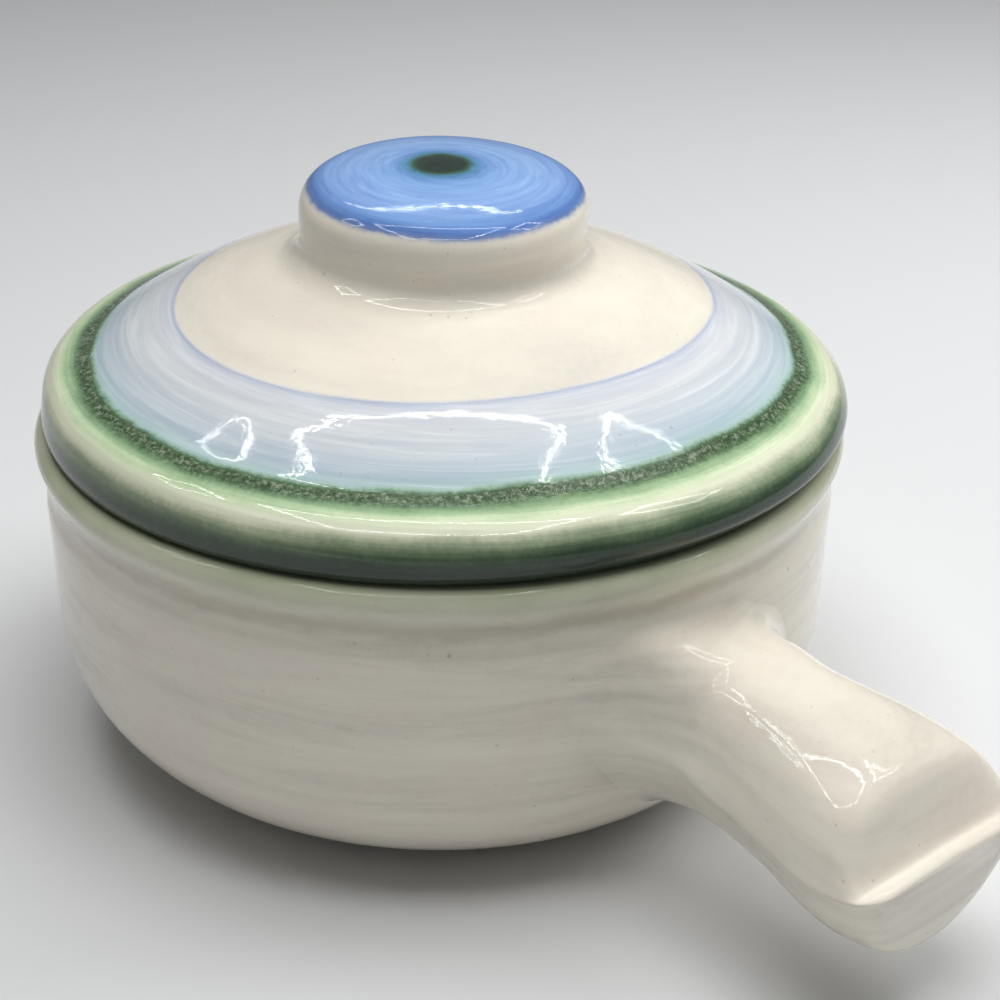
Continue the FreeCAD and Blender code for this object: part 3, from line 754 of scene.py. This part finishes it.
def lid_paint(outline):
    """Off-white dome, lavender band with a violet outline, a dark crystalline green ring in the
    hollow, and pale green on the roll that deepens to bottle green below, with painted shade
    making it near black under the roll and on the seat."""
    rings = [(on_dome(34), "#ECE6D9"), (on_dome(47.8), "#E4E1DC"), (on_dome(48.4), "#B6BDD1"),
             (on_dome(49.1), "#CFD3DA"), (on_dome(53), "#D5D8DB"), (on_dome(57), "#CCD3D8"),
             (on_dome(60.3), "#BCC9D2"), (on_dome(61.9), "#B2C9CA"), (on_dome(62.8), "#9FBCA6"),
             ((63.6, 75.25), "#42613F"), ((64.3, 75.0), "#4D6146"), ((65.2, 74.7), "#506D4A"),
             (roll_at(99), "#6A8662"), (roll_at(92), "#7F9D76"), (roll_at(84), "#9FB991"),
             (roll_at(74), "#BDD1A8"), (roll_at(62), "#D8E1C0"), (roll_at(50), "#DFE1C8"),
             # From the roll's side down, the stops are its deeper green glaze with painted shade
             # added; the near black ones under the roll and on the seat are painted shade in the
             # gap to the rim.
             (roll_at(40), "#CACDB0"), (roll_at(29), "#9DA88B"), (roll_at(15), "#66785B"),
             (roll_at(-2), "#384C38"), (roll_at(-18), "#1C2B20"), ((69.0, SEAT), "#1C2B20"),
             ((67.4, SEAT), "#6E7860"), ((FLANGE, SEAT - 2), "#E4DED0")]
    span = 120.0

    def paint(tree, place):
        white = off_white(tree, place, "#DBD6CA")
        # The rings were brushed a little off the pot's centre and a little out of round
        way = way_out(tree, place)
        off_round = add(tree, "ShaderNodeVectorMath", {
            0: way, 1: (2.8 * MM, 0.0, 0.0), 2: (0.1 * MM, 0.5 * MM, 0.0)},
            operation="MULTIPLY_ADD")
        off_round = add(tree, "ShaderNodeVectorMath", {0: way, 1: off_round.outputs[0]},
                        operation="DOT_PRODUCT")
        run = add(tree, "ShaderNodeAttribute", attribute_name="run").outputs["Fac"]
        # The violet line is drawn steadily, and the rings further out waver and break up
        loose = add(tree, "ShaderNodeMapRange", {"Value": run, "From Min": 52 * MM,
                                                 "From Max": 66 * MM, "To Min": 0.25}).outputs[0]
        strays = add(tree, "ShaderNodeMath", {0: wander(tree, place, 15 * MM, 1.4 * MM),
                                              1: wander(tree, place, 0.9 * MM, 0.6 * MM)},
                     operation="ADD")
        run = add(tree, "ShaderNodeMath", {0: strays.outputs[0], 1: loose, 2: run},
                  operation="MULTIPLY_ADD")
        run = add(tree, "ShaderNodeMath", {0: run.outputs[0], 1: off_round.outputs["Value"]},
                  operation="ADD")
        run = add(tree, "ShaderNodeMath", {0: run.outputs[0], 1: 0.7 * MM}, operation="SUBTRACT")
        share = add(tree, "ShaderNodeMath", {0: run.outputs[0], 1: span * MM},
                    operation="DIVIDE").outputs[0]

        def along(spot_at):
            return runs_to(outline, spot_at) / span

        bands = add(tree, "ShaderNodeValToRGB", {0: share},
                    stops=[(along(spot_at), colour) for spot_at, colour in rings]).outputs[0]
        # Brush marks about 1.5 mm wide in the bands, chalky on blue
        marks = add(tree, "ShaderNodeTexNoise", {"Vector": brushed_place(tree, 1.5, 1 / (1.5 * MM)),
                                                 "Scale": 1.0, "Detail": 4.0, "Roughness": 0.65,
                                                 "Distortion": 0.5})
        marks = add(tree, "ShaderNodeValToRGB", {0: marks.outputs[0]}, stops=[
            (0.34, "#8E99A8"), (0.5, "#BABCBE"), (0.7, "#F2F4F2")]).outputs[0]
        bands = add(tree, "ShaderNodeMix", {"Factor": 0.6, 6: bands, 7: marks},
                    data_type="RGBA", blend_type="SOFT_LIGHT").outputs[2]
        # Crystals about 1 mm wide, pale olive grey on nearly black, in the dark ring. The palest
        # grains are partly painted glints, lighter than the crystals themselves. The real ones are
        # about 0.6 mm wide, and are drawn coarser so that they show.
        crystals = add(tree, "ShaderNodeValToRGB", {0: share}, stops=[
            (along((63.1, 75.4)), 0.0), (along((63.8, 75.2)), 1.0), (along((64.9, 74.8)), 1.0),
            (along(roll_at(93)), 0.0)]).outputs[0]
        grains_and_glints = add(tree, "ShaderNodeTexNoise", {"Vector": place, "Scale": 1 / (0.9 * MM),
                                                  "Detail": 3.0, "Roughness": 0.75})
        grains_and_glints = add(tree, "ShaderNodeValToRGB", {0: grains_and_glints.outputs[0]}, stops=[
            (0.36, "#1E2E1C"), (0.5, "#4D6145"), (0.65, "#A6AF9B")]).outputs[0]
        speckled = add(tree, "ShaderNodeMath", {0: crystals, 1: 0.62}, operation="MULTIPLY")
        bands = add(tree, "ShaderNodeMix", {"Factor": speckled.outputs[0], 6: bands, 7: grains_and_glints},
                    data_type="RGBA").outputs[2]
        painted = add(tree, "ShaderNodeValToRGB", {0: share}, stops=[
            (along(on_dome(47.5)), 0.0), (along(on_dome(48.2)), 1.0),
            (along((67.4, SEAT)), 1.0), (along((FLANGE, SEAT - 2)), 0.0)]).outputs[0]
        colour = add(tree, "ShaderNodeMix", {"Factor": painted, 6: white, 7: bands},
                     data_type="RGBA").outputs[2]
        parts = add(tree, "ShaderNodeSeparateXYZ", {0: place})
        # The flange's lower edge was wiped bare
        glazed = add(tree, "ShaderNodeMath", {0: parts.outputs["Z"], 1: (SEAT - 5.2) * MM},
                     operation="GREATER_THAN").outputs[0]
        colour = add(tree, "ShaderNodeMix", {"Factor": glazed, 6: linear(BARE_CLAY), 7: colour},
                     data_type="RGBA").outputs[2]
        return colour, glazed, crystals

    return paint


def knob_paint(outline):
    """Blue brushed over the knob's top in swirls round a blackish green dot. The blue is darkest
    where it ends on the rounded edge."""
    edge = runs_to(outline, (24.9, 104.0))
    rings = [(0.0, "#26322F"), (4.2, "#2C3A33"), (5.1, "#3C5C4C"), (6.0, "#4E83A0"),
             (7.4, "#648CC0"), (9.5, "#7FA4D6"), (15.0, "#89ABDC"), (20.0, "#7C9ED2"),
             (23.0, "#678CC6"), (edge - 1.6, "#5577B6"), (edge - 0.5, "#7288B6"),
             (edge + 0.5, "#DAD8D2")]
    span = 40.0

    def paint(tree, place):
        white = off_white(tree, place, "#DBD6CA")
        # The dot sits off the middle, and the rings next to it go round it
        spot = add(tree, "ShaderNodeVectorMath", {0: place, 1: KNOB_DOT}, operation="SUBTRACT")
        spot = add(tree, "ShaderNodeVectorMath", {0: spot.outputs[0], 1: (1.0, 1.0, 0.0)},
                   operation="MULTIPLY")
        spot = add(tree, "ShaderNodeVectorMath", {0: spot.outputs[0]}, operation="LENGTH")
        run = add(tree, "ShaderNodeAttribute", attribute_name="run").outputs["Fac"]
        outer = add(tree, "ShaderNodeMapRange", {"Value": run, "From Min": 8 * MM,
                                                 "From Max": 19 * MM}).outputs[0]
        run = add(tree, "ShaderNodeMix", {"Factor": outer, 2: spot.outputs["Value"], 3: run})
        for width, reach in ((12, 0.7), (2, 0.4)):
            run = add(tree, "ShaderNodeMath", {0: wander(tree, place, width * MM, reach * MM),
                                               1: run.outputs[0]}, operation="ADD")
        share = add(tree, "ShaderNodeMath", {0: run.outputs[0], 1: span * MM},
                    operation="DIVIDE").outputs[0]
        blue = add(tree, "ShaderNodeValToRGB", {0: share}, stops=[
            (run_at / span, colour) for run_at, colour in rings]).outputs[0]
        # Brush swirls 1.3 mm wide
        swirl = add(tree, "ShaderNodeTexNoise", {"Vector": brushed_place(tree, 1.0, 1 / (1.3 * MM)),
                                                 "Scale": 1.0, "Detail": 4.0, "Roughness": 0.65,
                                                 "Distortion": 0.6})
        swirl = add(tree, "ShaderNodeValToRGB", {0: swirl.outputs[0]},
                    stops=[(0.3, 0.22), (0.72, 0.82)]).outputs[0]
        blue = add(tree, "ShaderNodeMix", {"Factor": 0.5, 6: blue, 7: swirl}, data_type="RGBA",
                   blend_type="SOFT_LIGHT").outputs[2]
        painted = add(tree, "ShaderNodeValToRGB", {0: share}, stops=[
            ((edge - 0.7) / span, 1.0), ((edge + 0.6) / span, 0.0)]).outputs[0]
        colour = add(tree, "ShaderNodeMix", {"Factor": painted, 6: white, 7: blue},
                     data_type="RGBA").outputs[2]
        return colour, 1.0, 0.0

    return paint


# The pieces

bowl_line, lid_line, knob_line = bowl_outline(), lid_outline(), knob_outline()
bowl_glaze = stoneware("Off-white stoneware glaze", bowl_paint)
lid_glaze = stoneware("Ringed stoneware glaze", lid_paint(lid_line))
knob_glaze = stoneware("Blue brushed stoneware glaze", knob_paint(knob_line))
wheel = wheel_tree()

seat = {"Askew towards": ASKEW_TOWARDS, "Seat height": SEAT * MM}
bowl = thrown("thrown_bowl", bowl_line, wheel, {
    "Steps round": 240, "Throwing line depth": 0.22 * MM, "Throwing line pitch": 7 * MM,
    "Unevenness": 0.5 * MM, "Seed": 3.0, "Tip": 0.0, "Lean": 0.0, "Shift": 0.0,
    "Glaze": bowl_glaze, **seat})
lid = thrown("thrown_lid", lid_line, wheel, {
    "Steps round": 256, "Throwing line depth": 0.12 * MM, "Throwing line pitch": 6 * MM,
    "Unevenness": 0.2 * MM, "Seed": 7.0, "Tip": ASKEW, "Lean": ASKEW, "Shift": ASKEW_SHIFT * MM,
    "Glaze": lid_glaze, **seat})
knob = thrown("lid_knob", knob_line, wheel, {
    "Steps round": 192, "Throwing line depth": 0.1 * MM, "Throwing line pitch": 5 * MM,
    "Unevenness": 0.25 * MM, "Seed": 11.0, "Tip": ASKEW, "Lean": KNOB_LEAN,
    "Shift": KNOB_SHIFT * MM, "Glaze": knob_glaze, **seat})
lute_to_dome(knob, knob_line, lid)
handle = placed("stick_handle", handle_mesh(bowl))
handle.data.materials.append(bowl_glaze)

for piece, node, slot, body in ((bowl, "bowl", "bowl_glaze", "bowl_body"),
                                (handle, "handle", "handle_glaze", "bowl_body"),
                                (lid, "lid", "lid_glaze", "lid_body"),
                                (knob, "knob", "knob_glaze", "lid_body")):
    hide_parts(node)
    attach(piece, body)


# The studio: a pale floor that sweeps up all round, soft boxes overhead and a dim sky

def studio_floor():
    rings = [(0.0, 0.0), (0.6, 0.0), (1.2, 0.0)]
    rings += [(1.2 + 0.6 * math.sin(a), 0.6 - 0.6 * math.cos(a))
              for a in (math.pi / 2 * i / 12 for i in range(1, 13))]
    rings += [(1.8, 1.6)]
    steps = 96
    turns = [2 * math.pi * n / steps for n in range(steps)]
    points = [(r * math.cos(turn), r * math.sin(turn), z) for r, z in rings[1:] for turn in turns]
    points.append((0.0, 0.0, 0.0))
    faces = [(len(points) - 1, n, (n + 1) % steps) for n in range(steps)]
    for i in range(len(rings) - 2):
        for n in range(steps):
            a, b = i * steps + n, i * steps + (n + 1) % steps
            faces.append((a, a + steps, b + steps, b))
    mesh = bpy.data.meshes.new("studio_floor")
    mesh.from_pydata(points, [], faces)
    mesh.shade_smooth()
    paper = bpy.data.materials.new("Pale matt paper")
    paper.use_nodes = True
    tree = paper.node_tree
    tree.nodes.clear()
    shader = add(tree, "ShaderNodeBsdfPrincipled", {
        "Base Color": linear("#DCDDDE"), "Roughness": 0.8, "Specular IOR Level": 0.2})
    add(tree, "ShaderNodeOutputMaterial", {"Surface": shader.outputs[0]})
    mesh.materials.append(paper)
    return placed("studio_floor", mesh)


studio_floor()

SOFT_POWER = 4.9
TUBE = 2.5 * MM
TUBE_HEIGHT = 250.0
TUBE_LIGHT = 24.0          # as bright as this many white cards

scene = bpy.context.scene
world = bpy.data.worlds.new("Studio")
world.use_nodes = True
world.node_tree.nodes.clear()
sky = add(world.node_tree, "ShaderNodeBackground", {"Color": linear("#F2F2F2"), "Strength": 0.18})
add(world.node_tree, "ShaderNodeOutputWorld", {"Surface": sky.outputs[0]})
scene.world = world


def lamp(name, at, towards, width, depth, power):
    data = bpy.data.lights.new(name, "AREA")
    data.shape = "RECTANGLE"
    data.size, data.size_y, data.energy = width, depth, power
    made = placed(name, data)
    made.location = at
    made.rotation_euler = (Vector(towards) - Vector(at)).to_track_quat("-Z", "Y").to_euler()
    return made


# A soft box overhead gives the even light, with a fill from behind. Thin tubes under it, in three
# frames and a bar, show only as highlights in the glaze: the lid is close to them, and would be lit
# more than the handle. An end is placed by how far it is to the camera's right and how near.
soft_box = lamp("soft_box", (0.05, -0.02, 0.75), (0.02, 0.0, 0.06), 0.6, 0.6, SOFT_POWER)
back_box = lamp("back_box", (0.17, 0.5, 0.5), (0.04, 0.0, 0.05), 0.4, 0.4, 0.45 * SOFT_POWER)
soft_box.visible_glossy = back_box.visible_glossy = False
TO_RIGHT, TO_CAMERA = Vector((0.651, 0.759, 0.0)), Vector((0.759, -0.651, 0.0))
UP = Vector((0, 0, 1))
FRAMES = [[(-93, 11), (82, 11), (54, 126), (-76, 126)],
          [(-205, -22), (-132, -22), (-132, 26), (-205, 26)],
          [(112, -22), (190, -22), (190, 28), (112, 28)]]
TUBES = [((-75, -150), (50, -150))]
for corners in FRAMES:
    TUBES += zip(corners, corners[1:] + corners[:1])
for n, ends in enumerate(TUBES):
    start, end = [(TO_RIGHT * u + TO_CAMERA * v + UP * TUBE_HEIGHT) * MM for u, v in ends]
    length = (end - start).length
    tube = lamp(f"tube_{n}", (start + end) / 2, start, length, TUBE,
                TUBE_LIGHT * math.pi * TUBE * length)
    along = (end - start).normalized()
    across = UP.cross(along)
    tube.visible_diffuse = False
    tube.rotation_euler = Matrix((along, across, UP)).transposed().to_euler()

camera = placed("camera", bpy.data.cameras.new("camera"))
camera.data.lens = 75.6
camera.data.sensor_width = 36.0
camera.data.clip_start = 0.01
right = Vector((0.65098, 0.75904, 0.00898))
up = Vector((-0.34834, 0.28820, 0.89196))
back = right.cross(up).normalized()
camera.matrix_world = Matrix.Translation((0.27358, -0.22216, 0.22142)) @ Matrix(
    (right, up, back)).transposed().to_4x4()
scene.camera = camera
scene.view_settings.view_transform = "Standard"
